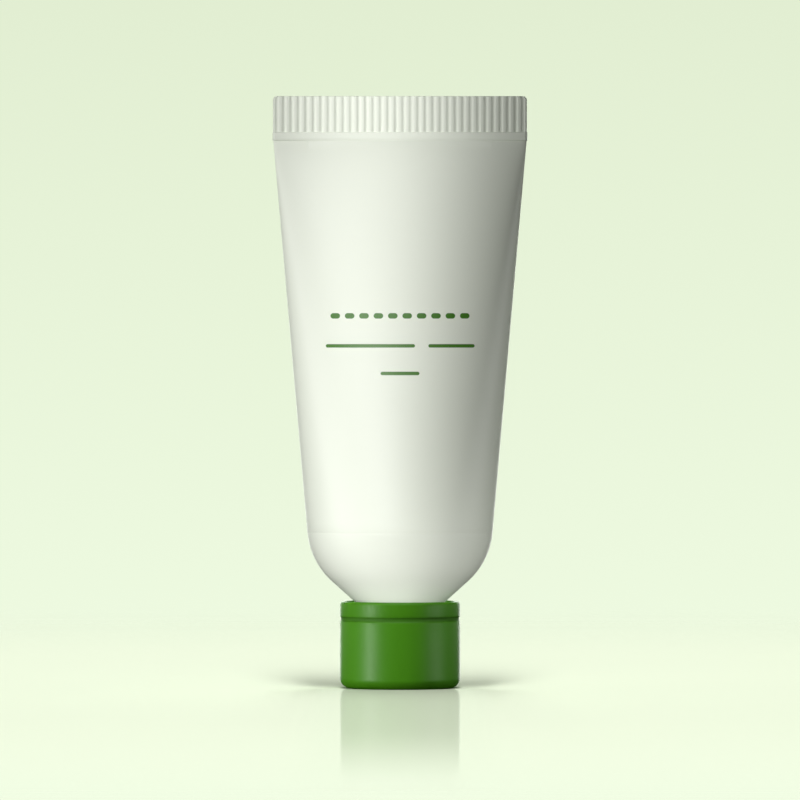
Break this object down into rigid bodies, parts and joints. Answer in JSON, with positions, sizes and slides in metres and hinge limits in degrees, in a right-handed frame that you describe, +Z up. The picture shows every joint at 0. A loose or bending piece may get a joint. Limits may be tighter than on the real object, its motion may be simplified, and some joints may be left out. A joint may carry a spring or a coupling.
{
  "type": "skincare tube",
  "caption": "Flattened soft plastic tube for face cream with a ribbed end crimp, standing on its round ring-grooved screw cap.",
  "frame": {"origin": "centre of the cap's flat resting face", "axes": "+Z up along the tube and the cap, from the cap to the crimp; the flat crimp runs along X, so the broad front faces -Y"},
  "size_m": [0.063, 0.0336, 0.1465],
  "materials": {
    "sleeve_plastic": "satin",
    "head_plastic": "satin",
    "cap_plastic": "satin",
    "liner_foam": "matte",
    "cream": "satin"
  },
  "bodies": {
    "cap": {"screw_cap": "cap_plastic"},
    "liner": {"cap_liner": "liner_foam"},
    "tube": {"sleeve": "sleeve_plastic", "tube_head": "head_plastic", "cream": "cream"}
  },
  "joints": [
    {"name": "tube_turn", "type": "hinge", "parent": "cap", "child": "liner", "pos_m": [0, 0, 0.0018], "axis": [0, 0, 1], "range_deg": [0, 2160]},
    {"name": "tube_rise", "type": "slide", "parent": "liner", "child": "tube", "axis": [0, 0, 1], "range_m": [0, 0.01906]}
  ],
  "couplings": [
    {"joint": "tube_rise", "follows": "tube_turn", "m_per_rad": 0.00050532}
  ]
}
